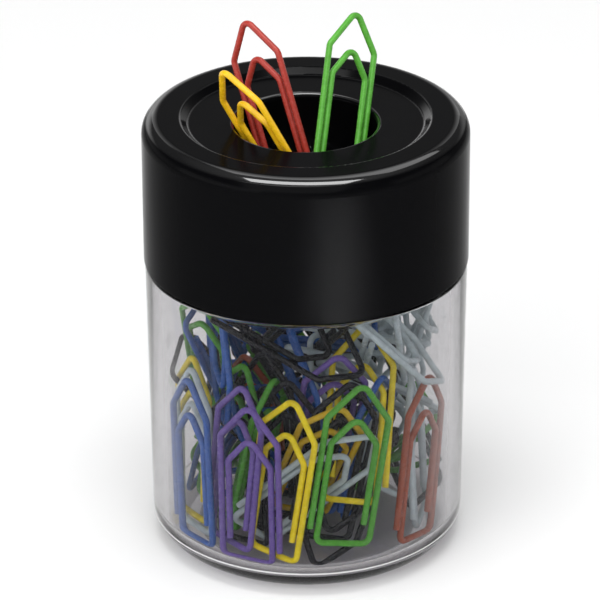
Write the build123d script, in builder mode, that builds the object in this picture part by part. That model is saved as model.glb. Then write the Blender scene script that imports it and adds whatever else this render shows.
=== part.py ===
from build123d import *
import math
import os

import numpy as np
from scipy.spatial import cKDTree

# Magnetic paper clip holder: a clear jar of loose clips under a black cap with a magnet ring
# round its throat. Millimetres, +Z up, origin at the middle of the jar's foot.

# Jar
jar_taper = 0.7
shoulder_height = 53.25
jar_wall = 2.3
neck_wall = 1.1
jar_floor = 2.2
base_round = 6.0
shoulder_round = 0.6
foot_height = 0.6
foot_width = 2.0
neck_height = 12.5

# Cap
cap_radius = 28.5
cap_overhang = 0.2
cap_height = 26.6
cap_round = 3.0
skirt_wall = 1.25
skirt_edge_round = 0.35
recess_radius = 21.8
recess_depth = 1.2
recess_slope = 1.3
recess_round = 0.7
panel_thickness = 1.6
rib_wall = 1.4
rib_overhang = 1.2
snap_count = 6
snap_arc = 24.0
snap_reach = 0.4

# Throat, liner and magnet ring
throat_radius = 12.3
rim_round = 0.9
liner_wall = 1.1
liner_tail = 3.5
liner_lip_round = 0.4
flange_thickness = 1.2
magnet_width = 5.3
magnet_height = 6.0
magnet_chamfer = 0.4

# Paper clips, bent from coated wire
wire = 1.1
clip_length = 31.0
clip_width = 11.8
leg_gap = 0.3
point_drop = 6.75
loop_drop = 6.5
bend_radius = 1.4
outer_end_rise = 2.85
inner_end_rise = 3.85
loose_count = 66

# Clearances
seat_gap = 0.15
skirt_gap = 0.15
magnet_gap = 0.1
flange_gap = 0.15
clip_gap = 0.3
headroom = 5.0

# Heights and radii that follow from the sizes above
jar_shoulder_radius = cap_radius - cap_overhang
jar_base_radius = jar_shoulder_radius - jar_taper
floor_top = foot_height + jar_floor
neck_top = shoulder_height + neck_height
cap_bottom = shoulder_height + seat_gap
cap_top = cap_bottom + cap_height
recess_floor = cap_top - recess_depth
panel_under = recess_floor - panel_thickness
magnet_bottom = panel_under - magnet_height
flange_bottom = magnet_bottom - flange_thickness
rib_bottom = flange_bottom - rib_overhang
liner_bottom = flange_bottom - liner_tail
pile_ceiling = liner_bottom - headroom
skirt_inner = cap_radius - skirt_wall
neck_radius = skirt_inner - skirt_gap
jar_mouth = neck_radius - neck_wall
liner_outer = throat_radius + liner_wall
magnet_inner = liner_outer + magnet_gap
magnet_outer = magnet_inner + magnet_width
rib_inner = magnet_outer + flange_gap
flange_radius = rib_inner - flange_gap
foot_outer = jar_base_radius - base_round
foot_inner = foot_outer - foot_width

# The clip's centre line, as width and length: two nested pointed loops in one plane
half_width = (clip_width - wire) / 2
inner_half = half_width - wire - leg_gap
inner_drop = point_drop * inner_half / half_width
crown = bend_radius / math.sin(math.atan2(half_width, point_drop)) - bend_radius
clip_foot = wire / 2
clip_apex = clip_length - wire / 2 + crown
loop_apex = clip_apex - loop_drop
clip_line = [
    (-half_width, clip_foot + outer_end_rise),
    (-half_width, clip_apex - point_drop),
    (0, clip_apex),
    (half_width, clip_apex - point_drop),
    (half_width, clip_foot),
    (-inner_half, clip_foot),
    (-inner_half, loop_apex - inner_drop),
    (0, loop_apex),
    (inner_half, loop_apex - inner_drop),
    (inner_half, clip_foot + inner_end_rise),
]


def nearest(sketch, radius, height):
    return sketch.vertices().sort_by_distance((radius, height))[0]


# Clear jar: foot ring, rounded base, tapered wall, shoulder and plain neck
with BuildPart() as jar:
    with BuildSketch(Plane.XZ) as jar_profile:
        with BuildLine():
            Polyline(
                (0, foot_height),
                (foot_inner, foot_height),
                (foot_inner, 0),
                (jar_base_radius, 0),
                (jar_shoulder_radius, shoulder_height),
                (neck_radius, shoulder_height),
                (neck_radius, neck_top),
                (jar_mouth, neck_top),
                (jar_mouth, shoulder_height),
                (jar_base_radius - jar_wall, floor_top),
                (0, floor_top),
                close=True,
            )
        make_face()
        fillet(nearest(jar_profile, jar_base_radius, 0), base_round)
        fillet(nearest(jar_profile, jar_base_radius - jar_wall, floor_top), base_round - jar_wall)
        fillet(nearest(jar_profile, jar_shoulder_radius, shoulder_height), shoulder_round)
        fillet(nearest(jar_profile, neck_radius, neck_top), (neck_radius - jar_mouth) * 0.4)
        fillet(nearest(jar_profile, jar_mouth, neck_top), (neck_radius - jar_mouth) * 0.4)
    revolve(axis=Axis.Z)
jar.part.label = "jar"

# Cap shell: skirt, rounded shoulder, recessed top with a rounded throat, and a rib with snaps below
with BuildPart() as cap_shell:
    with BuildSketch(Plane.XZ) as cap_profile:
        with BuildLine():
            Polyline(
                (skirt_inner, cap_bottom),
                (cap_radius, cap_bottom),
                (cap_radius, cap_top),
                (recess_radius, cap_top),
                (recess_radius - recess_slope, recess_floor),
                (throat_radius, recess_floor),
                (throat_radius, panel_under),
                (rib_inner, panel_under),
                (rib_inner, rib_bottom),
                (rib_inner + rib_wall, rib_bottom),
                (rib_inner + rib_wall, panel_under),
                (skirt_inner, panel_under),
                close=True,
            )
        make_face()
        fillet(nearest(cap_profile, cap_radius, cap_bottom), skirt_edge_round)
        fillet(nearest(cap_profile, cap_radius, cap_top), cap_round)
        fillet(nearest(cap_profile, recess_radius, cap_top), recess_round)
        fillet(nearest(cap_profile, recess_radius - recess_slope, recess_floor), recess_round)
        fillet(nearest(cap_profile, throat_radius, recess_floor), rim_round)
        fillet(nearest(cap_profile, skirt_inner, panel_under), panel_thickness)
    revolve(axis=Axis.Z)
    for snap in range(snap_count):
        bearing = math.radians(360 / snap_count * snap)
        across = (math.cos(bearing), math.sin(bearing), 0)
        square = (math.sin(bearing), -math.cos(bearing), 0)
        with BuildSketch(Plane(origin=(0, 0, 0), x_dir=across, z_dir=square)):
            with BuildLine():
                Polyline(
                    (rib_inner, flange_bottom),
                    (rib_inner - snap_reach, flange_bottom - snap_reach / 2),
                    (rib_inner, rib_bottom),
                    close=True,
                )
            make_face()
        revolve(axis=Axis.Z, revolution_arc=snap_arc)
cap_shell.part.label = "cap_shell"

# Magnet ring: sits under the recessed panel, round the liner's tube
with BuildPart() as magnet_ring:
    with BuildSketch(Plane.XY.offset(magnet_bottom)):
        Circle(magnet_outer)
        Circle(magnet_inner, mode=Mode.SUBTRACT)
    extrude(amount=magnet_height)
    chamfer(magnet_ring.edges().filter_by(GeomType.CIRCLE), magnet_chamfer)
magnet_ring.part.label = "magnet_ring"

# Throat liner: a tube that lines the magnet's bore, with the flange that holds the magnet up
with BuildPart() as throat_liner:
    with BuildSketch(Plane.XZ) as liner_profile:
        with BuildLine():
            Polyline(
                (throat_radius, liner_bottom),
                (liner_outer, liner_bottom),
                (liner_outer, flange_bottom),
                (flange_radius, flange_bottom),
                (flange_radius, magnet_bottom),
                (liner_outer, magnet_bottom),
                (liner_outer, panel_under),
                (throat_radius, panel_under),
                close=True,
            )
        make_face()
        fillet(nearest(liner_profile, throat_radius, liner_bottom), liner_lip_round)
        fillet(nearest(liner_profile, liner_outer, liner_bottom), liner_lip_round)
    revolve(axis=Axis.Z)
throat_liner.part.label = "throat_liner"

# One paper clip, standing on its flat end with its width along X
with BuildPart() as clip:
    with BuildLine(Plane.XZ) as clip_path:
        FilletPolyline(*clip_line, radius=bend_radius)
    with BuildSketch(Plane(origin=clip_path.line @ 0, z_dir=clip_path.line % 0)):
        Circle(wire / 2)
    sweep(path=clip_path.line)


def string_of_beads(spacing):
    """Points along the clip's centre line, for measuring how close two clips lie."""
    beads = []
    for (u0, v0), (u1, v1) in zip(clip_line[:-1], clip_line[1:]):
        steps = math.ceil(math.hypot(u1 - u0, v1 - v0) / spacing)
        for step in range(steps):
            part_way = step / steps
            beads.append((u0 + (u1 - u0) * part_way, 0, v0 + (v1 - v0) * part_way))
    beads.append((clip_line[-1][0], 0, clip_line[-1][1]))
    return np.array(beads)


bead_spacing = 0.8 * wire
beads = string_of_beads(bead_spacing) - [0, 0, clip_length / 2]
reach = math.hypot(wire + clip_gap, 0.5 * bead_spacing)


def turned(axis, degrees):
    """Rotation matrix about X, Y or Z."""
    cosine = math.cos(math.radians(degrees))
    sine = math.sin(math.radians(degrees))
    matrix = np.eye(3)
    first, second = {"x": (1, 2), "y": (2, 0), "z": (0, 1)}[axis]
    matrix[first, first] = matrix[second, second] = cosine
    matrix[first, second] = -sine
    matrix[second, first] = sine
    return matrix


def stance(wall, bearing, inset, height, facing, lean, tip, flipped):
    """Middle and rotation of a clip whose flat end is at a bearing from the front, inset from a
    round wall. It faces a way, leans inwards, tips to its right, and may be turned back to front."""
    angle = math.radians(bearing)
    radius = wall - inset
    flat_end = np.array([radius * math.sin(angle), -radius * math.cos(angle), height])
    rotation = turned("z", facing) @ turned("x", -lean) @ turned("y", tip)
    if flipped:
        rotation = rotation @ turned("z", 180)
    return flat_end + rotation[:, 2] * clip_length / 2, rotation


def jar_room(height):
    """Inside radius of the jar at a height, with its rounded corner."""
    slope = (jar_mouth - jar_base_radius + jar_wall) / (shoulder_height - floor_top)
    straight = jar_base_radius - jar_wall + slope * (height - floor_top)
    corner = base_round - jar_wall
    depth = np.clip((floor_top + corner - height) / corner, 0, 1)
    return np.minimum(straight, jar_mouth) - corner + corner * np.sqrt(1 - depth**2)


def throat_room(height):
    """Inside radius of the throat at a height, free above its rounded rim."""
    climb = np.clip((height - recess_floor + rim_round) / rim_round, 0, 1)
    bore = throat_radius + rim_round * (1 - np.sqrt(1 - climb**2))
    return np.where(height > recess_floor + wire / 2, 2 * cap_radius, bore)


def settle(middles, rotations, freedom, space, sweeps, sink=0.0, slack=0.01):
    """Push clips off one another and the wall, floor and ceiling of a space until each has its gap,
    or the sweeps run out."""
    room, floor, ceiling = space
    count = len(middles)
    owner = np.repeat(np.arange(count), len(beads))
    skin = wire / 2 + clip_gap
    worst = 0.0
    for sweep_number in range(sweeps):
        arms = np.einsum("nij,mj->nmi", rotations, beads).reshape(-1, 3)
        points = arms + middles[owner]
        near = cKDTree(points).query_pairs(reach, output_type="ndarray")
        first, second = near[owner[near[:, 0]] != owner[near[:, 1]]].T
        apart = points[first] - points[second]
        distance = np.linalg.norm(apart, axis=1) + 1e-9
        apart = apart / distance[:, None]
        lack = reach - distance
        share = freedom[owner[first]] / (freedom[owner[first]] + freedom[owner[second]])
        radius = np.hypot(points[:, 0], points[:, 1]) + 1e-9
        over = radius + skin - room(points[:, 2])
        below = floor + skin - points[:, 2]
        above = points[:, 2] + skin - ceiling
        worst = max(lack.max(initial=0), over.max(), below.max(), above.max())
        if worst < slack and not sink:
            break
        outside = np.nonzero(over > 0)[0]
        sunk = np.nonzero(below > 0)[0]
        raised = np.nonzero(above > 0)[0]
        inward = points[outside] * [-1, -1, 0] / radius[outside, None]
        upward = np.tile([0.0, 0.0, 1.0], (len(sunk), 1))
        downward = np.tile([0.0, 0.0, -1.0], (len(raised), 1))
        touch = np.concatenate([first, second, outside, sunk, raised])
        push = np.concatenate([apart, -apart, inward, upward, downward])
        want = [lack * share, lack * (1 - share), over[outside], below[sunk], above[raised]]
        want = np.concatenate(want)
        effect = np.concatenate([push, np.cross(arms[touch], push)], axis=1)
        stiffness = np.tile(np.diag([0.3, 0.3, 0.3, 20, 20, 20]), (count, 1, 1))
        load = np.zeros((count, 6))
        np.add.at(stiffness, owner[touch], effect[:, :, None] * effect[:, None, :])
        np.add.at(load, owner[touch], effect * want[:, None] * 1.1)
        shift = np.clip(np.linalg.solve(stiffness, load[:, :, None])[:, :, 0], -0.8, 0.8)
        angle = np.linalg.norm(shift[:, 3:], axis=1)[:, None, None] + 1e-9
        spin = np.swapaxes(np.cross(shift[:, None, 3:], np.eye(3)), 1, 2) / angle
        twist = np.eye(3) + np.sin(angle) * spin + (1 - np.cos(angle)) * spin @ spin
        rotations = twist @ rotations
        middles = middles + shift[:, :3] - np.outer(freedom, [0, 0, sink])
    return middles, rotations, worst


def dropped(chance, middles, rotations, highest):
    """A fresh clip in the roomiest of several random stances, at the sides, the back or low inside."""
    crowd = cKDTree((np.einsum("nij,mj->nmi", rotations, beads) + middles[:, None]).reshape(-1, 3))
    best = None
    for attempt in range(80):
        angle = chance.uniform(0, 2 * math.pi)
        radius = 0.8 * jar_mouth * math.sqrt(chance.uniform())
        height = chance.uniform(floor_top + clip_width / 3, highest)
        upright = chance.choice([0, 180])
        rotation = turned("z", chance.uniform(0, 360)) @ turned("x", chance.normal(0, 40))
        rotation = rotation @ turned("y", upright + chance.normal(0, 45))
        middle = np.array([radius * math.sin(angle), -radius * math.cos(angle), height])
        points = beads @ rotation.T + middle
        over = np.hypot(points[:, 0], points[:, 1]) + wire - jar_room(points[:, 2])
        below = floor_top + wire - points[:, 2]
        ahead = -0.4 * jar_mouth - points[:, 1] - 0.5 * np.clip(points[:, 2] - clip_length, 0, None)
        near = np.minimum(crowd.query(points, distance_upper_bound=reach)[0], reach)
        fault = sum(np.clip(amount, 0, None).sum() for amount in (over, below, 0.5 * ahead))
        fault += 2 * (reach - near).sum() + 0.15 * height
        if best is None or fault < best[0]:
            best = (fault, middle, rotation)
    return best[1], best[2]


# Loose clips against the front of the jar and then those behind, each with its stance
loose_stances = [
    ("blue", (-56, 2.0, 4.0, -53, 2, -4, False)),
    ("purple", (-24, 1.5, 4.5, -24, 0, 0, True)),
    ("green", (11, 1.5, 8.5, 9, 3, 12, False)),
    ("red", (55, 2.0, 4.0, 50, 2, 8, False)),
    ("yellow", (-22, 4.0, 5.5, -40, 3, 11, False)),
    ("purple", (-35, 3.5, 5.5, -31, 1, 3, False)),
    ("white", (-44, 4.5, 8.0, -5, -10, 57, False)),
    ("black", (26, 11.2, 33.0, 3, 18, -178, False)),
    ("orange", (14, 11.5, 4.0, 8, -5, 0, False)),
    ("yellow", (24, 4.5, 11.0, -4, 18, -3, True)),
    ("purple", (27, 15.5, 9.5, -1, -5, -1, False)),
    ("white", (-70, 5.0, 3.5, -53, -1, -3, False)),
    ("yellow", (-78, 6.0, 3.5, -58, 0, -2, False)),
    ("white", (73, 5.0, 4.0, 75, 3, 0, False)),
    ("white", (174, 16.0, 56.0, 0, 26, 149, False)),
    ("green", (-53, 11.5, 4.5, 50, -16, 0, False)),
    ("red", (-143, 15.0, 4.0, -34, -16, 3, False)),
    ("black", (15, 6.5, 7.5, 9, 6, 8, False)),
    ("black", (-42, 8.0, 4.5, -38, 3, -2, False)),
    ("black", (-14, 11.5, 4.5, -12, 4, 3, True)),
    ("green", (-66, 9.5, 4.5, -62, 4, 2, True)),
    ("black", (-30, 13.0, 4.5, -28, 5, -4, False)),
    ("blue", (52, 8.5, 4.5, 46, 4, -2, False)),
]
fill_colours = ["black", "blue", "green", "black", "blue", "black", "green", "black", "blue"]

# The pile goes in clip by clip, the chosen ones first, and the first of them give way least. Each time that
# a clip finds no room it is nudged, or dropped again from a little higher, and may lie a little closer
chance = np.random.default_rng(5)
jar_space = (jar_room, floor_top, pile_ceiling)
middles = np.empty((0, 3))
rotations = np.empty((0, 3, 3))
freedom = np.empty(0)
colours = []
highest = floor_top + 1.1 * clip_length
shortfall = 0.05
tries = 0
while len(middles) < loose_count:
    chosen = len(middles) < len(loose_stances)
    if chosen:
        colour, numbers = loose_stances[len(middles)]
        middle, rotation = stance(jar_base_radius - jar_wall, *numbers)
        middle = middle + chance.normal(0, 0.4 * tries, 3)
        rotation = turned("z", chance.normal(0, 3 * tries)) @ rotation
    else:
        colour = fill_colours[len(middles) % len(fill_colours)]
        middle, rotation = dropped(chance, middles, rotations, highest)
        if middle[0] > jar_mouth / 4 and middle[2] > shoulder_height / 2:
            colour = "white"
        elif colour == "green" and middle[1] < 0:
            colour = "black"
    wider = np.append(freedom, 0.5 * (1 + len(middles)) / len(loose_stances) if chosen else 1.0)
    pile = np.vstack([middles, middle[None]]), np.vstack([rotations, rotation[None]])
    pile = settle(*pile, wider, jar_space, 60, slack=0.03)
    if pile[2] < shortfall:
        middles, rotations, worst = pile
        freedom = wider
        colours.append(colour)
        tries = 0
    else:
        highest = min(highest + wire / 4, pile_ceiling)
        shortfall += clip_gap / 100
        tries += 1
middles, rotations, worst = settle(middles, rotations, freedom, jar_space, 60, sink=0.03)
middles, rotations, worst = settle(middles, rotations, freedom, jar_space, 600)
print("loose clips:", len(middles), " least gap falls short by", round(worst, 3))

# Clips that the magnet holds in the throat
held_stances = {
    "red": (-47, 9.5, recess_floor - 12.5, -40, 4, -24, False),
    "yellow": (4, 6.5, recess_floor - 15.2, -45, -21, -19, False),
    "green": (43, 4.9, recess_floor - 10.4, 45, 17, 26, True),
}
starts = [stance(throat_radius, *numbers) for numbers in held_stances.values()]
held_middles = np.array([start[0] for start in starts])
held_rotations = np.array([start[1] for start in starts])
throat_space = (throat_room, pile_ceiling, cap_top + clip_length)
held_freedom = np.ones(len(starts))
held_middles, held_rotations, worst = settle(held_middles, held_rotations, held_freedom, throat_space, 300)
print("held clips: least gap falls short by", round(worst, 3))


def clip_place(middle, rotation):
    flat_end = middle - rotation[:, 2] * clip_length / 2
    return Plane(origin=tuple(flat_end), x_dir=tuple(rotation[:, 0]), z_dir=tuple(rotation[:, 2]))


os.makedirs("parts", exist_ok=True)
export_step(jar.part, "parts/jar.step")
export_step(cap_shell.part, "parts/cap_shell.step")
export_step(magnet_ring.part, "parts/magnet_ring.step")
export_step(throat_liner.part, "parts/throat_liner.step")

for colour, middle, rotation in zip(held_stances, held_middles, held_rotations):
    with BuildPart() as held_clip:
        with Locations(clip_place(middle, rotation)):
            add(clip.part)
    held_clip.part.label = f"held_clip_{colour}"
    export_step(held_clip.part, f"parts/held_clip_{colour}.step")
    print(held_clip.part.label, "middle", middle.round(2), "slides along", rotation[:, 2].round(4))

# The chosen clips have a node each, and the rest of the pile a node for each colour
tally = {}
rest = {}
for colour, middle, rotation in zip(colours, middles, rotations):
    if sum(tally.values()) == len(loose_stances):
        rest.setdefault(colour, []).append(clip_place(middle, rotation))
        continue
    tally[colour] = tally.get(colour, 0) + 1
    with BuildPart() as loose_clip:
        with Locations(clip_place(middle, rotation)):
            add(clip.part)
    loose_clip.part.label = f"loose_clip_{colour}_{tally[colour]}"
    export_step(loose_clip.part, f"parts/{loose_clip.part.label}.step")

for colour, places in rest.items():
    with BuildPart() as loose_clips:
        with Locations(*places):
            add(clip.part)
    loose_clips.part.label = f"loose_clips_{colour}"
    export_step(loose_clips.part, f"parts/loose_clips_{colour}.step")
    print(loose_clips.part.label, "solids", len(loose_clips.part.solids()))
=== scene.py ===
import math

import bmesh
import bpy
from mathutils import Matrix, Vector


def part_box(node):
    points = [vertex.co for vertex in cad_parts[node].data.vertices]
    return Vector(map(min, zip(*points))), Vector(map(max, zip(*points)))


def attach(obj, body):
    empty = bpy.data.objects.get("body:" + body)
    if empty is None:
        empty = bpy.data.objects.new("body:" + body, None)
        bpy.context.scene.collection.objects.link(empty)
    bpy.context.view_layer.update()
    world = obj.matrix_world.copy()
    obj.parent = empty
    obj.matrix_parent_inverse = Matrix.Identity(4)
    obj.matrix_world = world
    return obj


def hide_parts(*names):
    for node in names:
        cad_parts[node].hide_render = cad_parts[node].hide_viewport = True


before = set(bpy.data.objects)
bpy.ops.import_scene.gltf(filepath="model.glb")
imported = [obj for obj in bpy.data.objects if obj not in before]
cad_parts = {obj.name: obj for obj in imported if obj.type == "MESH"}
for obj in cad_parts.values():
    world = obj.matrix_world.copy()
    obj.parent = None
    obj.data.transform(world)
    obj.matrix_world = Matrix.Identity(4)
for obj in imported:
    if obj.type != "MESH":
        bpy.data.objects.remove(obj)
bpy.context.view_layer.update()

# Magnetic paper clip holder: a clear jar of coated clips under a black cap. Metres, +Z up, front at -Y.

scene = bpy.context.scene

# Sizes of the clear jar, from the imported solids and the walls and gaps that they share
_, jar_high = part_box("jar")
cap_low, cap_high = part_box("cap_shell")
seat_gap = 0.00015
skirt_gap = 0.00015
skirt_wall = 0.00125
jar_taper = 0.0007
jar_wall = 0.0023
neck_wall = 0.0011
jar_floor = 0.0022
foot_height = 0.0006
foot_width = 0.002
base_round = 0.006
shoulder_round = 0.0006
lip_round = 0.4 * neck_wall

jar_radius = jar_high.x
jar_base = jar_radius - jar_taper
foot_outer = jar_base - base_round
shoulder_height = cap_low.z - seat_gap
neck_radius = cap_high.x - skirt_wall - skirt_gap
jar_mouth = neck_radius - neck_wall

# A fine bead low on the rounded base, pale as a painted highlight line
highlight_line_angle = math.radians(15)
bead_half = 0.00015
bead_round = 0.8 * bead_half
bead_radius = foot_outer + base_round * math.cos(highlight_line_angle)
bead_height = base_round - base_round * math.sin(highlight_line_angle)

# Where the cap's finish changes: radii past the throat's rim and past the recess, and depth to its back,
# behind which the recess is dulled as painted shade
rim_fade = (0.015, 0.018)
recess_fade = (0.0225, 0.0245)
back_fade = (-0.004, 0.012)

# How finely turned pieces are divided, and the angle from which an edge stays sharp
turn_steps = 240
round_steps = 10
sharp_angle = math.radians(35)


# Turned pieces

def outline(corners):
    """Points of a profile of (radius, height, rounding) corners, with each rounded corner as an arc."""
    points = []
    count = len(corners)
    for index, (radius, height, rounding) in enumerate(corners):
        here = Vector((radius, height))
        if not rounding:
            points.append(here)
            continue
        back = (Vector(corners[index - 1][:2]) - here).normalized()
        ahead = (Vector(corners[(index + 1) % count][:2]) - here).normalized()
        half = back.angle(ahead) / 2
        middle = here + (back + ahead).normalized() * rounding / math.sin(half)
        start = here + back * rounding / math.tan(half) - middle
        sweep = start.angle_signed(here + ahead * rounding / math.tan(half) - middle)
        for step in range(round_steps + 1):
            turn = Matrix.Rotation(-sweep * step / round_steps, 2)
            points.append(middle + turn @ start)
    return points


def turned_piece(name, corners):
    """A closed profile turned once round the Z axis, as a smooth mesh with its true edges kept."""
    mesh = bpy.data.meshes.new(name)
    shape = bmesh.new()
    angles = [2 * math.pi * step / turn_steps for step in range(turn_steps)]
    rings = []
    for radius, height in outline(corners):
        if radius:
            places = [(radius * math.cos(angle), radius * math.sin(angle), height) for angle in angles]
        else:
            places = [(0, 0, height)]
        rings.append([shape.verts.new(place) for place in places])
    for ring, after in zip(rings, rings[1:] + rings[:1]):
        for step in range(turn_steps):
            onward = (step + 1) % turn_steps
            face = [ring[step % len(ring)], ring[onward % len(ring)]]
            face += [after[onward % len(after)], after[step % len(after)]]
            face = list(dict.fromkeys(face))
            if len(face) > 2:
                shape.faces.new(face)
    bmesh.ops.recalc_face_normals(shape, faces=shape.faces)
    shape.to_mesh(mesh)
    shape.free()
    mesh.shade_smooth()
    mesh.set_sharp_from_angle(angle=sharp_angle)
    piece = bpy.data.objects.new(name, mesh)
    scene.collection.objects.link(piece)
    return piece


# Materials

class NodeTree:
    """The shader nodes of a material or of the world, with the kinds of node that several of them use."""

    def __init__(self, owner):
        owner.use_nodes = True
        self.nodes = owner.node_tree.nodes
        self.links = owner.node_tree.links

    def link(self, output, socket):
        self.links.new(output, socket)

    def noise(self, scale, detail):
        """Noise in object space, with its scale in repeats per metre."""
        where = self.nodes.new("ShaderNodeTexCoord")
        texture = self.nodes.new("ShaderNodeTexNoise")
        texture.inputs["Scale"].default_value = scale
        texture.inputs["Detail"].default_value = detail
        self.link(where.outputs["Object"], texture.inputs["Vector"])
        return texture.outputs["Fac"]

    def spread(self, value, low, high, start=0.3, stop=0.7):
        """A value that runs from start to stop, as noise mostly does, mapped to run from low to high."""
        ranged = self.nodes.new("ShaderNodeMapRange")
        ranged.inputs["From Min"].default_value = start
        ranged.inputs["From Max"].default_value = stop
        ranged.inputs["To Min"].default_value = low
        ranged.inputs["To Max"].default_value = high
        self.link(value, ranged.inputs["Value"])
        return ranged.outputs["Result"]

    def multiply(self, first, second):
        product = self.nodes.new("ShaderNodeMath")
        product.operation = "MULTIPLY"
        self.link(first, product.inputs[0])
        self.link(second, product.inputs[1])
        return product.outputs["Value"]

    def split(self, vector):
        """The X, Y and Z of a vector, by name."""
        parts = self.nodes.new("ShaderNodeSeparateXYZ")
        self.link(vector, parts.inputs["Vector"])
        return parts.outputs

    def bump(self, height, distance, strength, shader):
        """Surface relief from a height value."""
        relief = self.nodes.new("ShaderNodeBump")
        relief.inputs["Distance"].default_value = distance
        relief.inputs["Strength"].default_value = strength
        self.link(height, relief.inputs["Height"])
        self.link(relief.outputs["Normal"], shader.inputs["Normal"])


def material(name):
    """A new material with its node tree and its shader."""
    made = bpy.data.materials.new(name)
    tree = NodeTree(made)
    return made, tree, tree.nodes["Principled BSDF"]


def rounded_edges(tree):
    """1 on edges that slope between upright walls and level faces, 0 on those walls and faces."""
    wall_fade = (0.66, 0.76)
    level_fade = (0.95, 0.995)
    shape = tree.nodes.new("ShaderNodeNewGeometry")
    slope = tree.nodes.new("ShaderNodeMath")
    slope.operation = "ABSOLUTE"
    tree.link(tree.split(shape.outputs["Normal"])["Z"], slope.inputs[0])
    off_wall = tree.spread(slope.outputs["Value"], 0, 1, *wall_fade)
    off_level = tree.spread(slope.outputs["Value"], 1, 0, *level_fade)
    return tree.multiply(off_wall, off_level)


def handled_and_painted_shade(tree):
    """1 on the cap's outer edge and its throat, where fingers rub, and little at the back of its recess, as
    painted shade that hides a lamp's highlight there.
    """
    least_polish = 0.06
    where = tree.nodes.new("ShaderNodeTexCoord")
    place = tree.split(where.outputs["Object"])
    level = tree.nodes.new("ShaderNodeCombineXYZ")
    tree.link(place["X"], level.inputs["X"])
    tree.link(place["Y"], level.inputs["Y"])
    radius = tree.nodes.new("ShaderNodeVectorMath")
    radius.operation = "LENGTH"
    tree.link(level.outputs["Vector"], radius.inputs[0])
    past_throat = tree.spread(radius.outputs["Value"], 0, 1, *rim_fade)
    within_edge = tree.spread(radius.outputs["Value"], 1, 0, *recess_fade)
    behind = tree.spread(place["Y"], 0, 1, *back_fade)
    # The back of the recess loses its shine: painted shade that hides a lamp's highlight there
    painted_shade = tree.multiply(tree.multiply(past_throat, within_edge), behind)
    return tree.spread(painted_shade, 1, least_polish, 0, 1)


def black_plastic():
    """Satin black moulding with faint ripples and marks, polished by handling along its rounded edges, and
    dulled at the back of its recess as painted shade that hides a lamp's highlight.
    """
    satin_specular, polished_specular = 0.012, 0.42
    made, tree, shader = material("black_plastic")
    shader.inputs["Base Color"].default_value = (0.002, 0.002, 0.0024, 1)
    shader.inputs["Specular Tint"].default_value = (2.5, 2.5, 2.5, 1)
    polish_and_painted_shade = tree.multiply(rounded_edges(tree), handled_and_painted_shade(tree))
    shine = tree.spread(polish_and_painted_shade, satin_specular, polished_specular, 0, 1)
    tree.link(shine, shader.inputs["Specular IOR Level"])
    marks = tree.spread(tree.noise(160, 6), 0.12, 0.2)
    gloss = tree.nodes.new("ShaderNodeMix")
    gloss.inputs["B"].default_value = 0.07
    tree.link(polish_and_painted_shade, gloss.inputs["Factor"])
    tree.link(marks, gloss.inputs["A"])
    tree.link(gloss.outputs["Result"], shader.inputs["Roughness"])
    tree.bump(tree.noise(90, 1), 0.0004, 0.05, shader)
    return made


def ferrite():
    """Sintered dark grey magnet with a fine grain."""
    made, tree, shader = material("ferrite")
    shader.inputs["Base Color"].default_value = (0.03, 0.03, 0.033, 1)
    grain = tree.noise(2500, 4)
    tree.link(tree.spread(grain, 0.5, 0.75), shader.inputs["Roughness"])
    tree.bump(grain, 0.0002, 0.3, shader)
    return made


def clear_plastic():
    """Clear moulded polystyrene, which lets lamps through and greys a little with thickness."""
    wall_glint, edge_glint = 0.12, 1
    made, tree, shader = material("clear_plastic")
    shader.inputs["Base Color"].default_value = (0.98, 0.98, 0.985, 1)
    shader.inputs["Transmission Weight"].default_value = 1.0
    shader.inputs["IOR"].default_value = 1.5
    glint = tree.spread(rounded_edges(tree), wall_glint, edge_glint, 0, 1)
    tree.link(glint, shader.inputs["Specular Tint"])
    haze = tree.noise(220, 5)
    tree.link(tree.spread(haze, 0.0, 0.03), shader.inputs["Roughness"])
    path = tree.nodes.new("ShaderNodeLightPath")
    open_way = tree.nodes.new("ShaderNodeBsdfTransparent")
    open_way.inputs["Color"].default_value = (0.96, 0.96, 0.97, 1)
    either = tree.nodes.new("ShaderNodeMixShader")
    tree.link(path.outputs["Is Shadow Ray"], either.inputs["Fac"])
    tree.link(shader.outputs["BSDF"], either.inputs[1])
    tree.link(open_way.outputs["BSDF"], either.inputs[2])
    tint = tree.nodes.new("ShaderNodeVolumeAbsorption")
    tint.inputs["Color"].default_value = (0.68, 0.67, 0.68, 1)
    tint.inputs["Density"].default_value = 330.0
    output = tree.nodes["Material Output"]
    tree.link(either.outputs["Shader"], output.inputs["Surface"])
    tree.link(tint.outputs["Volume"], output.inputs["Volume"])
    return made


def painted_highlight_plastic():
    """The same plastic, made pale along a thin moulded line as a painted highlight where light gathers."""
    made, tree, shader = material("painted_highlight_plastic")
    # Near-white colour: a painted highlight along the bead
    shader.inputs["Base Color"].default_value = (0.9, 0.9, 0.9, 1)
    shader.inputs["Transmission Weight"].default_value = 0.3
    wear = tree.noise(500, 3)
    tree.link(tree.spread(wear, 0.1, 0.25), shader.inputs["Roughness"])
    return made


coat_colours = {
    "purple": (0.165, 0.105, 0.38),
    "blue": (0.028, 0.115, 0.42),
    "green": (0.095, 0.385, 0.04),
    "red": (0.4, 0.04, 0.028),
    "rust": (0.37, 0.075, 0.028),
    "amber": (0.9, 0.53, 0.012),
    "yellow": (0.94, 0.74, 0.02),
    "orange": (0.74, 0.5, 0.03),
    "white": (0.57, 0.67, 0.7),
    "black": (0.0065, 0.0075, 0.011),
}


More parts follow.
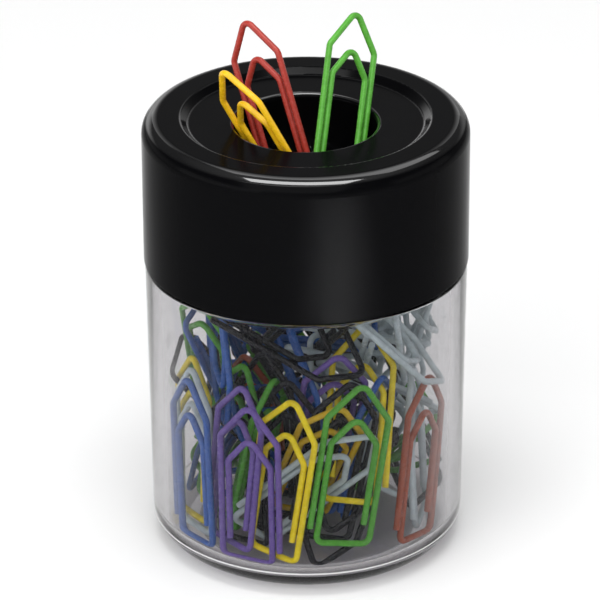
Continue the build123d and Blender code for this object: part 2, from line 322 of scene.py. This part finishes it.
def coated_wire(colour):
    """Thin vinyl coat on steel wire, with slight mottling and a soft gloss."""
    dark_patch, light_patch, least_light = 0.86, 1.1, 0.004
    base = coat_colours[colour]
    made, tree, shader = material("coat_" + colour)
    shader.inputs["Specular IOR Level"].default_value = 0.32
    blend = tree.nodes.new("ShaderNodeMix")
    blend.data_type = "RGBA"
    blend.inputs["A"].default_value = (*(dark_patch * channel for channel in base), 1)
    blend.inputs["B"].default_value = (*(min(1, light_patch * channel + least_light) for channel in base), 1)
    tree.link(tree.spread(tree.noise(700, 3), 0, 1), blend.inputs["Factor"])
    tree.link(blend.outputs["Result"], shader.inputs["Base Color"])
    wear = tree.noise(1800, 4)
    tree.link(tree.spread(wear, 0.2, 0.32), shader.inputs["Roughness"])
    tree.bump(wear, 0.00008, 0.35, shader)
    return made


def dress(piece, finish):
    """Gives a piece one finish all over."""
    piece.data.materials.clear()
    piece.data.materials.append(finish)


black = black_plastic()
coats = {colour: coated_wire(colour) for colour in coat_colours}

# Clear jar
jar = turned_piece("clear_jar", [
    (0, foot_height, 0),
    (foot_outer - foot_width, foot_height, 0),
    (foot_outer - foot_width, 0, 0),
    (jar_base, 0, base_round),
    (jar_radius, shoulder_height, shoulder_round),
    (neck_radius, shoulder_height, 0),
    (neck_radius, jar_high.z, lip_round),
    (jar_mouth, jar_high.z, lip_round),
    (jar_mouth, shoulder_height, 0),
    (jar_base - jar_wall, foot_height + jar_floor, base_round - jar_wall),
    (0, foot_height + jar_floor, 0),
])
dress(jar, clear_plastic())
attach(jar, "jar")
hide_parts("jar")

# Painted highlight line: a pale bead on the jar's rounded base
bead = turned_piece("jar_highlight_line", [
    (bead_radius - bead_half, bead_height - bead_half, bead_round),
    (bead_radius + bead_half, bead_height - bead_half, bead_round),
    (bead_radius + bead_half, bead_height + bead_half, bead_round),
    (bead_radius - bead_half, bead_height + bead_half, bead_round),
])
dress(bead, painted_highlight_plastic())
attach(bead, "jar")

# CAD nodes that show as they are: a clip's colour is the third word of its name, but for two shades
for name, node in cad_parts.items():
    if name == "held_clip_yellow":
        dress(node, coats["amber"])
    elif name.startswith("loose_clip_red"):
        dress(node, coats["rust"])
    elif "_clip" in name:
        dress(node, coats[name.split("_")[2]])
    elif name == "magnet_ring":
        dress(node, ferrite())
    elif name != "jar":
        dress(node, black)


# Floor, light and camera

def floor():
    """A plain pale floor, wide enough to fill the view."""
    reach = 3.0
    mesh = bpy.data.meshes.new("floor")
    corners = [(-reach, -reach, 0), (reach, -reach, 0), (reach, reach, 0), (-reach, reach, 0)]
    mesh.from_pydata(corners, [], [(0, 1, 2, 3)])
    piece = bpy.data.objects.new("floor", mesh)
    scene.collection.objects.link(piece)
    made, _, shader = material("floor")
    shader.inputs["Base Color"].default_value = (0.94, 0.94, 0.94, 1)
    shader.inputs["Roughness"].default_value = 0.9
    shader.inputs["Specular IOR Level"].default_value = 0.1
    dress(piece, made)


def backdrop():
    """A pale band round the horizon, brighter to the left, under a dim sky that lightens overhead."""
    band_left, band_right = 0.95, 0.35
    side_fade = (-0.3, 0.4)
    sky_rim, sky_top = 0.1, 0.3
    band_low, band_high, sky_low = (math.sin(math.radians(angle)) for angle in (10, 20, 40))
    world = bpy.data.worlds.new("studio")
    tree = NodeTree(world)
    where = tree.nodes.new("ShaderNodeTexCoord")
    way = tree.split(where.outputs["Generated"])
    level = tree.nodes.new("ShaderNodeMix")
    tree.link(tree.spread(way["Z"], 1, 0, band_low, band_high), level.inputs["Factor"])
    tree.link(tree.spread(way["Z"], sky_rim, sky_top, sky_low, 1), level.inputs["A"])
    tree.link(tree.spread(way["X"], band_left, band_right, *side_fade), level.inputs["B"])
    sky = tree.nodes["Background"]
    sky.inputs["Color"].default_value = (1, 1, 1, 1)
    tree.link(level.outputs["Result"], sky.inputs["Strength"])
    scene.world = world


def toward(bearing, elevation, distance, middle):
    """A point seen from middle at a bearing from the front (+ to the right) and an elevation, in degrees."""
    b, e = math.radians(bearing), math.radians(elevation)
    return middle + distance * Vector((math.sin(b) * math.cos(e), -math.cos(b) * math.cos(e), math.sin(e)))


def softbox(name, bearing, elevation, distance, width, height, power):
    """A plain softbox that faces the holder, with its power in watts."""
    lamp_aim = Vector((0, 0, 0.05))
    data = bpy.data.lights.new(name, "AREA")
    data.shape = "RECTANGLE"
    data.size = width
    data.size_y = height
    data.energy = power
    lamp = bpy.data.objects.new(name, data)
    lamp.location = toward(bearing, elevation, distance, lamp_aim)
    lamp.rotation_euler = (lamp_aim - lamp.location).to_track_quat("-Z", "Y").to_euler()
    scene.collection.objects.link(lamp)


def floor_spot():
    """A narrow lamp over the floor in front and to the right, whose pool the cap's side mirrors as a band."""
    data = bpy.data.lights.new("floor_spot", "AREA")
    data.shape = "DISK"
    data.size = 0.07
    data.spread = math.radians(14)
    data.energy = 0.19
    lamp = bpy.data.objects.new("floor_spot", data)
    lamp.location = (0.055, -0.15, 0.5)
    scene.collection.objects.link(lamp)


floor()
backdrop()
softbox("overhead_softbox", bearing=-10, elevation=82, distance=1.0, width=0.78, height=0.36, power=5.6)
softbox("front_softbox", bearing=-9, elevation=42, distance=0.95, width=1.1, height=0.8, power=6.2)
softbox("left_strip", bearing=-62, elevation=13, distance=1.0, width=1.2, height=0.4, power=2.2)
softbox("right_strip", bearing=87, elevation=13, distance=1.0, width=0.95, height=0.4, power=1.3)
softbox("back_softbox", bearing=180, elevation=26, distance=1.0, width=0.7, height=0.45, power=0.5)
softbox("rear_softbox", bearing=165, elevation=56, distance=1.0, width=0.8, height=0.5, power=1.7)
floor_spot()

# Camera, where the photograph was taken from
camera_distance = 0.784
camera_elevation = 26.43
camera_aim = Vector((0, 0, 0.038))
camera_pitch = -0.0074
camera_yaw = -0.0016
camera_roll = -0.0045
focal_pixels = 4428
frame_pixels = 600

camera_data = bpy.data.cameras.new("camera")
camera_data.sensor_width = 36
camera_data.lens = focal_pixels * camera_data.sensor_width / frame_pixels
camera_data.clip_start = 0.05
camera_data.clip_end = 20
camera = bpy.data.objects.new("camera", camera_data)
scene.collection.objects.link(camera)
camera.location = toward(0, camera_elevation, camera_distance, camera_aim)
down = math.radians(camera_elevation) + camera_pitch
level_ahead = Vector((math.sin(camera_yaw), math.cos(camera_yaw), 0))
ahead = math.cos(down) * level_ahead - Vector((0, 0, math.sin(down)))
right = ahead.cross(Vector((0, 0, 1))).normalized()
upward = right.cross(ahead)
right, upward = (
    math.cos(camera_roll) * right + math.sin(camera_roll) * upward,
    math.cos(camera_roll) * upward - math.sin(camera_roll) * right,
)
camera.rotation_euler = Matrix((right, upward, -ahead)).transposed().to_euler()
scene.camera = camera
scene.view_settings.view_transform = "Standard"
